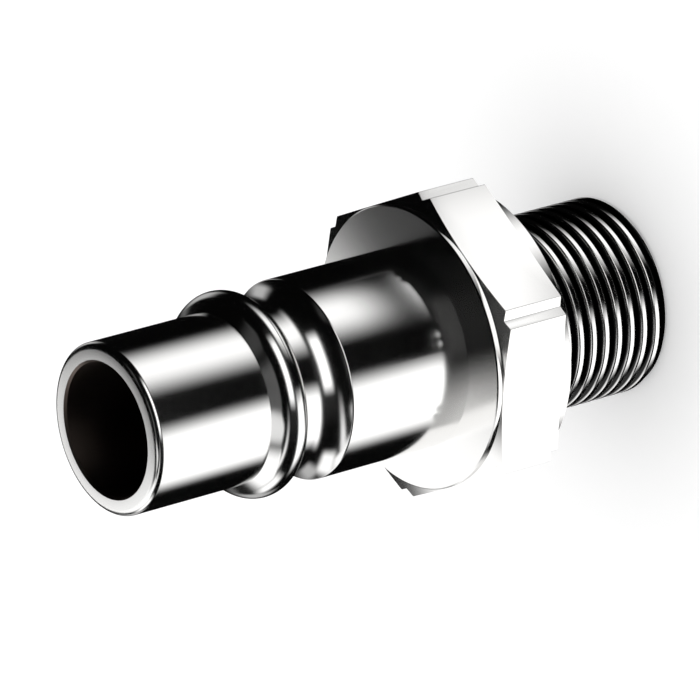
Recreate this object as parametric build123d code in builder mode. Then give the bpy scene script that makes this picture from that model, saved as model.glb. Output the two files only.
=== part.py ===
from build123d import *
from math import cos, radians, sin, tan
import os

# Plug half of a quick coupling, turned in one piece from hexagon bar.
# It stands on the end face of its thread, with the nose up. The axis is Z.

# Pipe thread G 3/8, shown as a plain shank of its outside diameter
thread_diameter = 16.662
thread_length = 13.3          # from the end face to the seal face
thread_end_chamfer = 0.5
relief_diameter = 14.8        # undercut between the thread and the seal face
relief_width = 2.2

# Hexagon for the spanner
hexagon_across_flats = 24.0
hexagon_length = 6.1
hexagon_chamfer_angle = 15    # turned on its front corners
notch_depth = 0.9             # groove along each corner, from the sharp corner in
notch_angle = 120             # between the groove's two walls

# Round faces before and behind the hexagon, the rear one for a sealing washer
washer_face_diameter = 23.9
washer_face_height = 0.65
seal_face_height = 1.1
face_edge = 0.1               # broken edge round both

# Body, from the washer face to the shoulder of the locking groove
body_diameter = 16.7
body_length = 11.8

# Locking groove, from the shoulder to the back of the collar
groove_diameter = 14.0
groove_length = 3.9
shoulder_slope = 52           # of the groove's wall, from the axis
shoulder_round = 0.9
groove_round = 1.6

# Collar, half round at the back, with a ramp at the front
collar_diameter = 17.2
collar_ramp_angle = 57        # from the axis

# Nose, from the foot of the ramp to the front face
nose_diameter = 14.3
nose_length = 11.2
nose_edge_round = 0.6

# Way through
bore_diameter = 11.1
bore_front_chamfer = 0.2      # at the nose
bore_rear_chamfer = 0.3       # at the thread's end

# Radii
thread_radius = thread_diameter / 2
relief_radius = relief_diameter / 2
corner_radius = hexagon_across_flats / 2 / cos(radians(30))
washer_face_radius = washer_face_diameter / 2
body_radius = body_diameter / 2
groove_radius = groove_diameter / 2
collar_radius = collar_diameter / 2
nose_radius = nose_diameter / 2
bore_radius = bore_diameter / 2

# Collar: the ramp touches the half round and ends on the nose
collar_rise = collar_radius - groove_radius
ramp_across = cos(radians(collar_ramp_angle))
ramp_along = sin(radians(collar_ramp_angle))
ramp_foot_drop = (collar_rise - (nose_radius - groove_radius) * ramp_across) / ramp_along

# Places along the axis, from the end face of the thread up
seal_face = thread_length
relief_start = seal_face - relief_width
hexagon_bottom = seal_face + seal_face_height
hexagon_top = hexagon_bottom + hexagon_length
washer_face = hexagon_top + washer_face_height
shoulder = washer_face + body_length
groove_floor_start = shoulder + (body_radius - groove_radius) / tan(radians(shoulder_slope))
collar_back = shoulder + groove_length
collar_middle = collar_back + collar_rise
nose_start = collar_middle + ramp_foot_drop
front_face = nose_start + nose_length

# Hexagon corners
corner_drop = (corner_radius - washer_face_radius) * tan(radians(hexagon_chamfer_angle))
notch_half_width = notch_depth * tan(radians(notch_angle / 2))


with BuildPart() as plug_body:

    # Hexagon
    with BuildSketch(Plane.XY.offset(hexagon_bottom)):
        RegularPolygon(corner_radius, 6)
    extrude(amount=hexagon_length)

    # Chamfer turned on its front corners
    with BuildSketch(Plane.XZ):
        Polygon(
            (washer_face_radius, hexagon_top),
            (corner_radius, hexagon_top - corner_drop),
            (corner_radius, hexagon_top),
            align=None,
        )
    revolve(axis=Axis.Z, mode=Mode.SUBTRACT)

    # Groove cut along each corner
    with BuildSketch(Plane.XY.offset(hexagon_bottom)):
        with PolarLocations(corner_radius - notch_depth, 6):
            Polygon(
                (0, 0),
                (notch_depth, -notch_half_width),
                (notch_depth, notch_half_width),
                align=None,
            )
    extrude(amount=hexagon_length, mode=Mode.SUBTRACT)

    # Turned outline, a half section in the XZ plane
    with BuildSketch(Plane.XZ) as turned_section:
        with BuildLine():
            Polyline(
                (bore_radius, 0),
                (thread_radius, 0),
                (thread_radius, relief_start),
                (relief_radius, relief_start),
                (relief_radius, seal_face),
                (washer_face_radius, seal_face),
                (washer_face_radius, washer_face),
                (body_radius, washer_face),
                (body_radius, shoulder),
                (groove_radius, groove_floor_start),
                (groove_radius, collar_back),
            )
            half_round = CenterArc(
                (groove_radius, collar_middle),
                collar_rise,
                -90,
                90 + collar_ramp_angle,
            )
            Polyline(
                half_round @ 1,
                (nose_radius, nose_start),
                (nose_radius, front_face),
                (bore_radius, front_face),
                (bore_radius, 0),
            )
        make_face()

        def corner(radius, height):
            """Find the corner of the outline at this radius and height."""
            return turned_section.vertices().sort_by_distance((radius, height))[0]

        chamfer(corner(thread_radius, 0), thread_end_chamfer)
        chamfer(corner(washer_face_radius, seal_face), face_edge)
        chamfer(corner(washer_face_radius, washer_face), face_edge)
        fillet(corner(body_radius, shoulder), shoulder_round)
        fillet(corner(groove_radius, groove_floor_start), groove_round)
        fillet(corner(nose_radius, front_face), nose_edge_round)
        chamfer(corner(bore_radius, front_face), bore_front_chamfer)
        chamfer(corner(bore_radius, 0), bore_rear_chamfer)
    revolve(axis=Axis.Z)

    # Way through
    with BuildSketch(Plane.XY):
        Circle(bore_radius)
    extrude(amount=front_face, mode=Mode.SUBTRACT)

os.makedirs("parts", exist_ok=True)
plug_body.part.label = "plug_body"
export_step(plug_body.part, "parts/plug_body.step")
print("overall length", round(front_face, 3))
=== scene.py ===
import math

import bpy
from mathutils import Matrix, Vector


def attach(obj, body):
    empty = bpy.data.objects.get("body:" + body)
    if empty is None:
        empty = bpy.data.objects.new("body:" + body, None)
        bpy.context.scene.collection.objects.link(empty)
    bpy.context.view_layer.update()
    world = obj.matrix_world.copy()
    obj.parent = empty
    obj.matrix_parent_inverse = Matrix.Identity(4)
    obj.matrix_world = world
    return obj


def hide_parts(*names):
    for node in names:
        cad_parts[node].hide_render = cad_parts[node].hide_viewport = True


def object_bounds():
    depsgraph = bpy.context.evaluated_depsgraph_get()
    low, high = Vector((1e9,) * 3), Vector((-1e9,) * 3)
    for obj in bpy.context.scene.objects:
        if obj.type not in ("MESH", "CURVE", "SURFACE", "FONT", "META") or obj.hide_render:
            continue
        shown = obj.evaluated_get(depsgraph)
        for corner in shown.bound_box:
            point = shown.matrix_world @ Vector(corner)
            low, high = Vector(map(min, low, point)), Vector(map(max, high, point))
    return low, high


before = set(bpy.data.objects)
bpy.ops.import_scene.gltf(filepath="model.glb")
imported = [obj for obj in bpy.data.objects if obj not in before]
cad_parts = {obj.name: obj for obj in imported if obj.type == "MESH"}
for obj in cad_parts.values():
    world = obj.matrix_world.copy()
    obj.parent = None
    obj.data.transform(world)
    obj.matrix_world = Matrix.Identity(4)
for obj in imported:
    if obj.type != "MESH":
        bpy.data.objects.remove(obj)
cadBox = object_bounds()
print("frame loaded")

mm = 0.001
frontFace = cadBox[1].z / mm      # height of the nose's end face, in mm

# Fineness of the mesh, with lengths in mm
meshing = {
    "segments": 192,          # round the axis
    "spinWeld": 0.0005,       # vertices closer than this become one
    "weld": 0.001,
    "sameReach": 0.01,        # as far from the axis, to within this
    "cutTolerance": 0.0001,
    "smoothAngle": 25,
}


# General helpers

def deselectAll():
    if bpy.context.object and bpy.context.object.mode != "OBJECT":
        bpy.ops.object.mode_set(mode="OBJECT")
    bpy.ops.object.select_all(action="DESELECT")


def makeActive(piece):
    deselectAll()
    piece.select_set(True)
    bpy.context.view_layer.objects.active = piece


def nameIt(piece, name):
    piece.name = name
    piece.data.name = name
    return piece


def weldAll(distance):
    # in edit mode, ends with everything selected
    bpy.ops.mesh.select_all(action="SELECT")
    bpy.ops.mesh.remove_doubles(threshold=distance * mm)


def arcPoints(centre, radius, startDegrees, endDegrees, steps):
    turn = (endDegrees - startDegrees) / steps
    angles = [math.radians(startDegrees + turn * i) for i in range(steps + 1)]
    return [(centre[0] + radius * math.cos(a), centre[1] + radius * math.sin(a)) for a in angles]


def roundedCorner(before, corner, after, radius, steps):
    # the arc that touches both sides of a corner
    corner = Vector(corner)
    toBefore = (Vector(before) - corner).normalized()
    toAfter = (Vector(after) - corner).normalized()
    half = toBefore.angle(toAfter) / 2
    centre = corner + (toBefore + toAfter).normalized() * radius / math.sin(half)
    start = corner + toBefore * radius / math.tan(half) - centre
    end = corner + toAfter * radius / math.tan(half) - centre
    turn = start.angle_signed(end)
    return [tuple(centre + start @ Matrix.Rotation(turn * i / steps, 2)) for i in range(steps + 1)]


def roundedOutline(corners, steps):
    # each corner is (radius from the axis, height, rounding), all in mm
    points = []
    for i, (r, z, rounding) in enumerate(corners):
        if rounding:
            points += roundedCorner(corners[i - 1][:2], (r, z), corners[i + 1][:2], rounding, steps)
        else:
            points.append((r, z))
    return points


def drawOutline(name, points):
    # a chain of edges in the XZ plane, extruded vertex by vertex from one vertex
    deselectAll()
    bpy.ops.mesh.primitive_plane_add(size=mm, location=(0, 0, 0))
    piece = nameIt(bpy.context.object, name)
    bpy.ops.object.mode_set(mode="EDIT")
    bpy.ops.mesh.select_mode(type="VERT")
    bpy.ops.mesh.merge(type="CENTER")
    r, z = points[0]
    bpy.ops.transform.translate(value=(r * mm, 0, z * mm))
    for (oldR, oldZ), (r, z) in zip(points, points[1:]):
        step = ((r - oldR) * mm, 0, (z - oldZ) * mm)
        bpy.ops.mesh.extrude_region_move(TRANSFORM_OT_translate={"value": step})
    return piece


def spinOutline(name, points):
    # a turned solid: the outline starts and ends on the axis
    piece = drawOutline(name, points)
    bpy.ops.mesh.select_all(action="SELECT")
    bpy.ops.mesh.spin(steps=meshing["segments"], angle=2 * math.pi, center=(0, 0, 0), axis=(0, 0, 1))
    weldAll(meshing["spinWeld"])
    bpy.ops.mesh.normals_make_consistent(inside=False)
    bpy.ops.object.mode_set(mode="OBJECT")
    return piece


def cutWith(piece, tool, operation):
    makeActive(piece)
    modifier = piece.modifiers.new(operation.title(), "BOOLEAN")
    modifier.operation = operation
    modifier.solver = "EXACT"
    modifier.object = tool
    bpy.ops.object.modifier_apply(modifier=modifier.name)
    bpy.data.objects.remove(tool)


# Bore right through, with its two broken edges, in mm

bore = {"radius": 5.55, "frontChamfer": 0.2, "rearChamfer": 0.3, "toolPast": 1}


def makeBoreTool():
    r, front, rear, past = bore["radius"], bore["frontChamfer"], bore["rearChamfer"], bore["toolPast"]
    return spinOutline("boreTool", [
        (0, -past),
        (r + rear + past, -past),
        (r, rear),
        (r, frontFace - front),
        (r + front + past, frontFace + past),
        (0, frontFace + past),
    ])


# Turned body: nose, collar, groove, body and the two round faces, in mm from the thread's end face

body = {
    "neckRadius": 7.4,
    "neckBottom": 6.0,        # inside the threaded tail
    "sealFace": 13.3,
    "washerFace": 21.15,
    "faceRadius": 11.95,
    "faceEdge": 0.1,
    "crown": 0.13,            # the washer face falls away slightly towards its rim
    "noseCrown": 0.014,       # and so does the nose's end face
    "bodyRadius": 8.35,
    "shoulder": 32.95,
    "shoulderRound": 0.2,
    "grooveRadius": 7.0,
    "grooveStart": 34.005,
    "grooveRound": 3.2,
    "collarBack": 36.85,
    "collarRound": 1.6,
    "rampAngle": 57,
    "noseRadius": 7.15,
    "noseStart": 40.263,
    "noseEdge": 0.6,
    "collarSteps": 28,        # edges along each round
    "grooveSteps": 12,
    "noseSteps": 10,
}


def makeTurnedBody():
    b = body
    rim = b["washerFace"] - b["crown"]
    collarMiddle = (b["grooveRadius"], b["collarBack"] + b["collarRound"])
    collar = arcPoints(collarMiddle, b["collarRound"], -90, b["rampAngle"], b["collarSteps"])
    rear = roundedOutline([
        (0, b["neckBottom"], 0),
        (b["neckRadius"], b["neckBottom"], 0),
        (b["neckRadius"], b["sealFace"], 0),
        (b["faceRadius"] - b["faceEdge"], b["sealFace"], 0),
        (b["faceRadius"], b["sealFace"] + b["faceEdge"], 0),
        (b["faceRadius"], rim - b["faceEdge"], 0),
        (b["faceRadius"] - b["faceEdge"], rim, 0),
        (b["bodyRadius"], b["washerFace"], 0),
        (b["bodyRadius"], b["shoulder"], b["shoulderRound"]),
        (b["grooveRadius"], b["grooveStart"], b["grooveRound"]),
        (b["grooveRadius"], b["collarBack"], 0),
    ], b["grooveSteps"])
    front = roundedOutline([
        collar[-1] + (0,),
        (b["noseRadius"], b["noseStart"], 0),
        (b["noseRadius"], frontFace - b["noseCrown"], b["noseEdge"]),
        (bore["radius"], frontFace, 0),
        (0, frontFace, 0),
    ], b["noseSteps"])
    return spinOutline("plugBody", rear[:-1] + collar[:-1] + front)


# Hexagon with a groove along each corner, in mm

hexagon = {
    "acrossFlats": 24.0,
    "bottom": 14.4,
    "top": 20.5,
    "chamferAngle": 15,
    "chamferStart": 11.95,    # radius where the chamfer leaves the top
    "notchDepth": 0.9,
    "edgeBreak": 0.05,
    "toolReach": 20,          # the chamfering tool goes well past the corners
    "toolPast": 1,            # and below the bottom
}


def selectUprightEdges(piece):
    # edges that rise by more than 1 mm
    bpy.ops.mesh.select_mode(type="EDGE")
    bpy.ops.mesh.select_all(action="DESELECT")
    bpy.ops.object.mode_set(mode="OBJECT")
    for edge in piece.data.edges:
        a, b = [piece.data.vertices[i].co for i in edge.vertices]
        edge.select = abs(a.z - b.z) > mm
    bpy.ops.object.mode_set(mode="EDIT")


def pullInFarthest(piece, radius):
    # the vertices farthest from the axis are drawn in to a smaller radius
    bpy.ops.mesh.select_mode(type="VERT")
    bpy.ops.mesh.select_all(action="DESELECT")
    bpy.ops.object.mode_set(mode="OBJECT")
    reaches = [v.co.xy.length for v in piece.data.vertices]
    farthest = max(reaches)
    for vertex, reach in zip(piece.data.vertices, reaches):
        vertex.select = reach > farthest - meshing["sameReach"] * mm
    bpy.ops.object.mode_set(mode="EDIT")
    bpy.ops.transform.resize(value=(radius / farthest, radius / farthest, 1), center_override=(0, 0, 0))


def makeChamferTool():
    h = hexagon
    drop = (h["toolReach"] - h["chamferStart"]) * math.tan(math.radians(h["chamferAngle"]))
    floor = h["bottom"] - h["toolPast"]
    return spinOutline("chamferTool", [
        (0, floor),
        (h["toolReach"], floor),
        (h["toolReach"], h["top"] - drop),
        (h["chamferStart"], h["top"]),
        (0, h["top"]),
    ])


def makeHexagon():
    h = hexagon
    flatToCorner = math.radians(30)
    cornerRadius = h["acrossFlats"] / 2 / math.cos(flatToCorner)
    height = h["top"] - h["bottom"]
    deselectAll()
    bpy.ops.mesh.primitive_cylinder_add(
        vertices=6, radius=cornerRadius * mm, depth=height * mm,
        location=(0, 0, (h["bottom"] + height / 2) * mm), rotation=(0, 0, flatToCorner))
    piece = nameIt(bpy.context.object, "hexagon")
    bpy.ops.object.transform_apply(location=True, rotation=True, scale=True)
    bpy.ops.object.mode_set(mode="EDIT")
    selectUprightEdges(piece)
    # each corner edge becomes three, and the middle one is pulled in to the bottom of its groove
    bpy.ops.mesh.bevel(offset=h["notchDepth"] * mm, offset_type="OFFSET", segments=2, affect="EDGES")
    pullInFarthest(piece, (cornerRadius - h["notchDepth"]) * mm)
    selectUprightEdges(piece)
    bpy.ops.mesh.bevel(offset=h["edgeBreak"] * mm, segments=2, affect="EDGES")
    bpy.ops.object.mode_set(mode="OBJECT")
    cutWith(piece, makeChamferTool(), "INTERSECT")
    return piece


# Threaded tail: one tooth of the pipe thread, wound right-handed and trimmed at both ends, in mm

thread = {
    "crestRadius": 8.331,
    "pitch": 1.337,
    "depth": 0.62,
    "flankAngle": 27.5,
    "rootWidth": 0.16,
    "crestRounding": 0.22,
    "rootRounding": 0.1,
    "endChamfer": 0.5,
    "top": 11.1,
    "turnsBelow": 1.5,        # the winding starts this far below the end face
    "spareTurns": 2,
    "stepsPerTurn": 96,
    "roundSteps": 6,
    "toolPast": 1,
}


def drawTooth():
    t = thread
    crest, pitch = t["crestRadius"], t["pitch"]
    root = crest - t["depth"]
    rootHalf = t["rootWidth"] / 2
    mouthHalf = rootHalf + t["depth"] * math.tan(math.radians(t["flankAngle"]))
    return drawOutline("threadTooth", roundedOutline([
        (root, 0, 0),
        (root, rootHalf, t["rootRounding"]),
        (crest, mouthHalf, t["crestRounding"]),
        (crest, pitch - mouthHalf, t["crestRounding"]),
        (root, pitch - rootHalf, t["rootRounding"]),
        (root, pitch, 0),
    ], t["roundSteps"]))


def makeEndTool():
    # what the thread may fill: its cylinder with the chamfer at the end
    t = thread
    outer = t["crestRadius"] + t["toolPast"]
    return spinOutline("endTool", [
        (0, 0),
        (t["crestRadius"] - t["endChamfer"], 0),
        (outer, t["endChamfer"] + t["toolPast"]),
        (outer, t["top"] + t["toolPast"]),
        (0, t["top"] + t["toolPast"]),
    ])


def makeThread():
    t = thread
    piece = drawTooth()
    bpy.ops.mesh.select_all(action="SELECT")
    bpy.ops.transform.translate(value=(0, 0, -t["turnsBelow"] * t["pitch"] * mm))
    bpy.ops.object.mode_set(mode="OBJECT")
    screw = piece.modifiers.new("Winding", "SCREW")
    screw.axis = "Z"
    screw.angle = 2 * math.pi
    screw.screw_offset = t["pitch"] * mm
    screw.iterations = math.ceil(t["top"] / t["pitch"]) + t["spareTurns"]
    screw.steps = t["stepsPerTurn"]
    screw.render_steps = t["stepsPerTurn"]
    makeActive(piece)
    bpy.ops.object.modifier_apply(modifier=screw.name)
    bpy.ops.object.mode_set(mode="EDIT")
    weldAll(meshing["weld"])
    cut = {"plane_no": (0, 0, 1), "use_fill": True, "threshold": meshing["cutTolerance"] * mm}
    bpy.ops.mesh.bisect(plane_co=(0, 0, 0), clear_inner=True, **cut)
    bpy.ops.mesh.select_all(action="SELECT")
    bpy.ops.mesh.bisect(plane_co=(0, 0, t["top"] * mm), clear_outer=True, **cut)
    bpy.ops.mesh.select_all(action="SELECT")
    bpy.ops.mesh.normals_make_consistent(inside=False)
    bpy.ops.object.mode_set(mode="OBJECT")
    cutWith(piece, makeEndTool(), "INTERSECT")
    return piece


def makePlug():
    plug = makeTurnedBody()
    print("turned body done", len(plug.data.polygons))
    cutWith(plug, makeHexagon(), "UNION")
    print("hexagon done", len(plug.data.polygons))
    cutWith(plug, makeThread(), "UNION")
    print("thread done", len(plug.data.polygons))
    cutWith(plug, makeBoreTool(), "DIFFERENCE")
    print("bore done", len(plug.data.polygons))
    makeActive(plug)
    bpy.ops.object.mode_set(mode="EDIT")
    weldAll(meshing["weld"])
    bpy.ops.object.mode_set(mode="OBJECT")
    bpy.ops.object.shade_smooth_by_angle(angle=math.radians(meshing["smoothAngle"]))
    return plug


# Finish: bright plating over a turned surface, with painted shade in the thread's grooves and the bore, with
# lengths in mm

steel = {
    "colour": (0.86, 0.855, 0.845, 1),
    "roughness": 0.13,
    "anisotropic": 0.5,
    "faceRoughness": 0.22,            # the nose's end face is faced off more coarsely
    "faceEdge": (-0.1, -0.03),        # it begins between these, up from its own height
    "boreShadeColour": (0.15, 0.12, 0.105, 1),
    "boreRoughness": 0.42,            # the bore is drilled and rougher; its darker colour is painted shade
    "mouthEdge": (-0.03, 0.02),       # the bore ends between these, out from the rim of its mouth
    "grooveShadeColour": (0.02, 0.02, 0.02, 1),      # painted shade: the thread's grooves are darkened, as shade falls in them
    "grooveShadeDepth": (0.18, 0.06),      # the painted shade is full below the first, gone above the second
    "threadTop": (-0.1, 0),           # above these, up from the thread's top, nothing is a groove
    "threadEnd": (0.06, 0.02),        # and below these, up from the end face
    "markSpacing": 0.12,
    "markDepth": 0.00025,
}


def addNode(tree, kind, **settings):
    node = tree.nodes.new(kind)
    for key, value in settings.items():
        setattr(node, key, value)
    return node


def addMaths(tree, operation, *values):
    # each value is a number or another node's output
    node = addNode(tree, "ShaderNodeMath", operation=operation)
    for socket, value in zip(node.inputs, values):
        if isinstance(value, (int, float)):
            socket.default_value = value
        else:
            tree.links.new(value, socket)
    return node.outputs[0]


def addVectorMaths(tree, operation, first, second=None):
    # the first may be a fixed vector, and the result is a vector or, for a length, a number
    node = addNode(tree, "ShaderNodeVectorMath", operation=operation)
    if isinstance(first, tuple):
        node.inputs[0].default_value = first
    else:
        tree.links.new(first, node.inputs[0])
    if second is not None:
        tree.links.new(second, node.inputs[1])
    return node.outputs["Value" if operation == "LENGTH" else "Vector"]


def addRamp(tree, value, start, end, top=1, bottom=0, shape="LINEAR"):
    # rises from bottom at start to top at end
    ramp = addNode(tree, "ShaderNodeMapRange", interpolation_type=shape)
    tree.links.new(value, ramp.inputs["Value"])
    ramp.inputs["From Min"].default_value = start
    ramp.inputs["From Max"].default_value = end
    ramp.inputs["To Min"].default_value = bottom
    ramp.inputs["To Max"].default_value = top
    return ramp.outputs["Result"]


def addMix(tree, share, first, second, kind="FLOAT"):
    # first where share is 0 and second where it is 1, each a fixed value or another node's output
    mix = addNode(tree, "ShaderNodeMix", data_type=kind)
    sockets = {"FLOAT": (2, 3, 0), "RGBA": (6, 7, 2)}[kind]      # the two inputs and the output
    tree.links.new(share, mix.inputs[0])
    for place, value in zip(sockets, (first, second)):
        if hasattr(value, "is_linked"):
            tree.links.new(value, mix.inputs[place])
        else:
            mix.inputs[place].default_value = value
    return mix.outputs[sockets[2]]


def emptyMaterial(name):
    material = bpy.data.materials.new(name)
    material.use_nodes = True
    material.node_tree.nodes.clear()
    return material


def addRadiusAndHeight(tree, place):
    # how far from the axis a point is, and how high
    parts = addNode(tree, "ShaderNodeSeparateXYZ")
    tree.links.new(place, parts.inputs[0])
    flat = addNode(tree, "ShaderNodeCombineXYZ")
    tree.links.new(parts.outputs["X"], flat.inputs["X"])
    tree.links.new(parts.outputs["Y"], flat.inputs["Y"])
    return addVectorMaths(tree, "LENGTH", flat.outputs[0]), parts.outputs["Z"]


def addColourAndRoughness(tree, radius, height):
    # the outside, the nose's end face, and painted shade in the thread's grooves and in the bore
    s = steel

    def between(value, base, edge):
        return addRamp(tree, value, (base + edge[0]) * mm, (base + edge[1]) * mm)

    outside = between(radius, bore["radius"] + bore["frontChamfer"], s["mouthEdge"])
    endFace = between(height, frontFace, s["faceEdge"])
    # painted shade: the thread's grooves darken towards their roots
    bright = between(radius, thread["crestRadius"], [-depth for depth in s["grooveShadeDepth"]])
    aboveThread = between(height, thread["top"], s["threadTop"])
    threadEnd = between(height, 0, s["threadEnd"])
    bright = addMaths(tree, "MAXIMUM", addMaths(tree, "MAXIMUM", bright, aboveThread), threadEnd)
    skinWithGrooveShade = addMix(tree, bright, s["grooveShadeColour"], s["colour"], "RGBA")
    # painted shade darkens the bore
    colour = addMix(tree, outside, s["boreShadeColour"], skinWithGrooveShade, "RGBA")
    rough = addMix(tree, endFace, s["roughness"], s["faceRoughness"])
    return colour, addMix(tree, outside, s["boreRoughness"], rough)


def addTurningMarks(tree, radius, height):
    # fine marks, the same all the way round
    rings = addNode(tree, "ShaderNodeCombineXYZ")
    tree.links.new(radius, rings.inputs["X"])
    tree.links.new(height, rings.inputs["Z"])
    marks = addNode(tree, "ShaderNodeTexNoise")
    marks.inputs["Scale"].default_value = 1 / (steel["markSpacing"] * mm)
    marks.inputs["Detail"].default_value = 1
    tree.links.new(rings.outputs[0], marks.inputs["Vector"])
    bump = addNode(tree, "ShaderNodeBump")
    bump.inputs["Distance"].default_value = steel["markDepth"] * mm
    tree.links.new(marks.outputs[0], bump.inputs["Height"])
    return bump.outputs[0]


def turnedSteel():
    material = emptyMaterial("platedSteel")
    tree = material.node_tree
    output = addNode(tree, "ShaderNodeOutputMaterial")
    shader = addNode(tree, "ShaderNodeBsdfPrincipled")
    tree.links.new(shader.outputs["BSDF"], output.inputs["Surface"])
    shader.inputs["Metallic"].default_value = 1
    shader.inputs["Anisotropic"].default_value = steel["anisotropic"]

    # the lathe's marks run round the axis, so the shine stretches across them
    place = addNode(tree, "ShaderNodeTexCoord")
    around = addVectorMaths(tree, "CROSS_PRODUCT", (0, 0, 1), place.outputs["Object"])
    across = addVectorMaths(tree, "CROSS_PRODUCT", around, place.outputs["Normal"])
    tree.links.new(addVectorMaths(tree, "NORMALIZE", across), shader.inputs["Tangent"])

    radius, height = addRadiusAndHeight(tree, place.outputs["Object"])
    colour, rough = addColourAndRoughness(tree, radius, height)
    tree.links.new(colour, shader.inputs["Base Color"])
    tree.links.new(rough, shader.inputs["Roughness"])
    tree.links.new(addTurningMarks(tree, radius, height), shader.inputs["Normal"])
    return material


plug = makePlug()
plug.data.materials.clear()
plug.data.materials.append(turnedSteel())
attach(plug, "root")
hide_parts("plug_body")
print("finish done")


# Floor and light, in metres and degrees

stage = {
    "floorSize": 4.0,
    "floorColour": (0.97, 0.97, 0.97, 1),
    "floorLift": 0.15,            # lightens the floor for the camera alone
    "tentRadius": 0.6,
    "tentHeight": 0.025,
    "tentSegments": 96,
    "tentRings": 48,
    "dark": 0.0015,
    "faceView": 34.7,             # how high the camera's view leaves the plug's flat faces
    "leanSpan": 10,               # a leaning box leans this far above and below that
    "worldStrength": 1.02,
}


def showOnlyInShine(piece):
    # nothing but the metal's mirror image shows it, and it throws no shadow
    for ray in ("camera", "diffuse", "transmission", "volume_scatter", "shadow"):
        setattr(piece, "visible_" + ray, False)


def makeFloor():
    deselectAll()
    bpy.ops.mesh.primitive_plane_add(size=stage["floorSize"], location=(0, 0, 0))
    floor = nameIt(bpy.context.object, "floor")
    material = bpy.data.materials.new("paleFloor")
    material.use_nodes = True
    tree = material.node_tree
    shader = tree.nodes["Principled BSDF"]
    shader.inputs["Base Color"].default_value = stage["floorColour"]
    shader.inputs["Roughness"].default_value = 1
    shader.inputs["Specular IOR Level"].default_value = 0
    shader.inputs["Emission Color"].default_value = (1, 1, 1, 1)
    path = addNode(tree, "ShaderNodeLightPath")
    lift = addMix(tree, path.outputs["Is Camera Ray"], 0, stage["floorLift"])
    tree.links.new(lift, shader.inputs["Emission Strength"])
    floor.data.materials.append(material)
    floor.visible_glossy = False       # the metal mirrors the light tent instead
    floor.visible_shadow = False


# Soft boxes that the metal mirrors: where they stand as seen from the plug, how far they reach
# to each side and up and down, and how soft their edges are, in degrees
softBoxes = {
    "lowerKey": {"azimuth": -60.5, "elevation": -40, "reach": (38.5, 20), "edge": (15, 5), "strength": 1.5},
    "upperKey": {"azimuth": 61, "elevation": -40, "reach": (23, 20), "edge": (20, 5), "strength": 1.25},
    "besideCamera": {"azimuth": 10, "elevation": 7, "reach": (33, 14), "edge": (10, 5), "strength": 1.5},
    "frontFill": {"azimuth": -5, "elevation": 0, "reach": (50, 24), "edge": (25, 8), "strength": 0.02},
    "aboveFront": {"azimuth": -10, "elevation": 74, "reach": (60, 7), "edge": (20, 3), "strength": 0.11},
    "aboveLeft": {"azimuth": -86, "elevation": 65, "reach": (22, 10), "edge": (10, 4), "strength": 0.9},
    "aboveRight": {"azimuth": 85, "elevation": 60, "reach": (15, 12), "edge": (8, 6), "strength": 0.05},
    "farKey": {"azimuth": -142.6, "elevation": 35.5, "reach": (38.3, 15), "edge": (4.5, 6), "strength": 1.25,
               "lean": 8},
    "farLow": {"azimuth": -122, "elevation": 10, "reach": (16, 12), "edge": (8, 6), "strength": 1.25},
    "farFill": {"azimuth": -95, "elevation": 35, "reach": (40, 5), "edge": (35, 3), "strength": 1.0},
    "backLeft": {"azimuth": -145, "elevation": -10, "reach": (12, 12), "edge": (8, 5), "strength": 0.5},
    "backRight": {"azimuth": 145, "elevation": -10, "reach": (12, 12), "edge": (8, 5), "strength": 0.5},
}


def addLean(tree, rise, lean):
    # the box leans sideways where the flat faces mirror it
    start = math.radians(stage["faceView"] - stage["leanSpan"])
    end = math.radians(stage["faceView"] + stage["leanSpan"])
    return addRamp(tree, rise, start, end, math.radians(lean), -math.radians(lean))


def addSoftBox(tree, azimuth, rise, box):
    # how brightly one soft box shines from a direction
    def soften(angle, reach, edge, strength):
        start = math.radians(reach + edge)
        end = math.radians(reach - edge)
        return addRamp(tree, angle, start, end, strength, shape="SMOOTHSTEP")

    height = addMaths(tree, "SUBTRACT", rise, math.radians(box["elevation"]))
    turned = addMaths(tree, "SUBTRACT", azimuth, math.radians(box["azimuth"]))
    if "lean" in box:
        turned = addMaths(tree, "SUBTRACT", turned, addLean(tree, rise, box["lean"]))
    sideways = addMaths(tree, "ARCCOSINE", addMaths(tree, "COSINE", turned))
    across = soften(sideways, box["reach"][0], box["edge"][0], 1)
    upDown = soften(addMaths(tree, "ABSOLUTE", height), box["reach"][1], box["edge"][1], box["strength"])
    return addMaths(tree, "MULTIPLY", across, upDown)


def makeLightTent():
    deselectAll()
    bpy.ops.mesh.primitive_uv_sphere_add(
        segments=stage["tentSegments"], ring_count=stage["tentRings"],
        radius=stage["tentRadius"], location=(0, 0, stage["tentHeight"]))
    tent = nameIt(bpy.context.object, "lightTent")
    showOnlyInShine(tent)
    material = emptyMaterial("softBoxes")
    material.cycles.emission_sampling = "NONE"
    tree = material.node_tree
    output = addNode(tree, "ShaderNodeOutputMaterial")
    glow = addNode(tree, "ShaderNodeEmission")
    tree.links.new(glow.outputs[0], output.inputs["Surface"])
    place = addNode(tree, "ShaderNodeTexCoord")
    parts = addNode(tree, "ShaderNodeSeparateXYZ")
    tree.links.new(addVectorMaths(tree, "NORMALIZE", place.outputs["Object"]), parts.inputs[0])
    x, y, z = parts.outputs
    azimuth = addMaths(tree, "ARCTAN2", y, x)
    rise = addMaths(tree, "ARCSINE", z)
    total = stage["dark"]
    for box in softBoxes.values():
        total = addMaths(tree, "MAXIMUM", addSoftBox(tree, azimuth, rise, box), total)
    tree.links.new(total, glow.inputs["Strength"])
    tent.data.materials.append(material)


# A dark card that the body mirrors beside the washer face, in mm and degrees
darkCard = {"radius": 29, "bottom": 9.0, "fadeStart": 11.5, "top": 16.5, "from": 12, "to": 110, "steps": 24}


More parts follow.
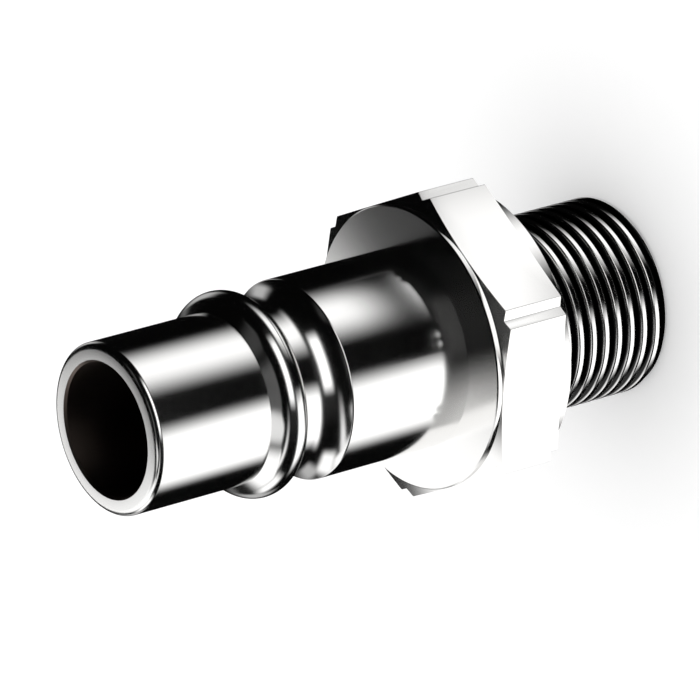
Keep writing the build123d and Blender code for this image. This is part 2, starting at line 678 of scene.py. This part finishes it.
def makeDarkCard():
    c = darkCard
    start, end = math.radians(c["from"]), math.radians(c["to"])
    card = drawOutline("darkCard", [(c["radius"], c["bottom"]), (c["radius"], c["top"])])
    bpy.ops.mesh.select_all(action="SELECT")
    bpy.ops.transform.rotate(value=start, orient_axis="Z", center_override=(0, 0, 0))
    bpy.ops.mesh.spin(steps=c["steps"], angle=start - end, center=(0, 0, 0), axis=(0, 0, 1))
    bpy.ops.object.mode_set(mode="OBJECT")
    showOnlyInShine(card)
    material = emptyMaterial("darkCard")
    tree = material.node_tree
    place = addNode(tree, "ShaderNodeTexCoord")
    parts = addNode(tree, "ShaderNodeSeparateXYZ")
    tree.links.new(place.outputs["Object"], parts.inputs[0])
    clear = addRamp(tree, parts.outputs["Z"], c["fadeStart"] * mm, c["top"] * mm)
    glass = addNode(tree, "ShaderNodeBsdfTransparent")
    tint = addMix(tree, clear, (0, 0, 0, 1), (1, 1, 1, 1), "RGBA")
    tree.links.new(tint, glass.inputs["Color"])
    output = addNode(tree, "ShaderNodeOutputMaterial")
    tree.links.new(glass.outputs[0], output.inputs["Surface"])
    card.data.materials.append(material)


def makeWorld():
    # an even white room, which lights the floor
    world = bpy.data.worlds.new("paleRoom")
    bpy.context.scene.world = world
    world.use_nodes = True
    background = world.node_tree.nodes["Background"]
    background.inputs["Color"].default_value = (1, 1, 1, 1)
    background.inputs["Strength"].default_value = stage["worldStrength"]


makeFloor()
makeLightTent()
makeDarkCard()
makeWorld()
print("stage done")


# Camera: the photograph's view, with the plug lying across the picture, in metres and mm of lens

camera = {
    "place": (0.5002, 0.00105, 0.3729),
    "right": (0.5493, -0.2626, -0.7933),
    "up": (0.1495, 0.9649, -0.2159),
    "lens": 383.8,
    "sensor": 36,
    "farClip": 10,
}


def makeCamera():
    deselectAll()
    bpy.ops.object.camera_add(location=camera["place"])
    eye = bpy.context.object
    right = Vector(camera["right"]).normalized()
    back = right.cross(Vector(camera["up"])).normalized()
    up = back.cross(right)
    turn = Matrix((right, up, back)).transposed().to_4x4()
    eye.matrix_world = Matrix.Translation(camera["place"]) @ turn
    eye.data.lens = camera["lens"]
    eye.data.sensor_width = camera["sensor"]
    eye.data.clip_end = camera["farClip"]
    bpy.context.scene.camera = eye


makeCamera()
bpy.context.scene.view_settings.view_transform = "Standard"
print("camera done")
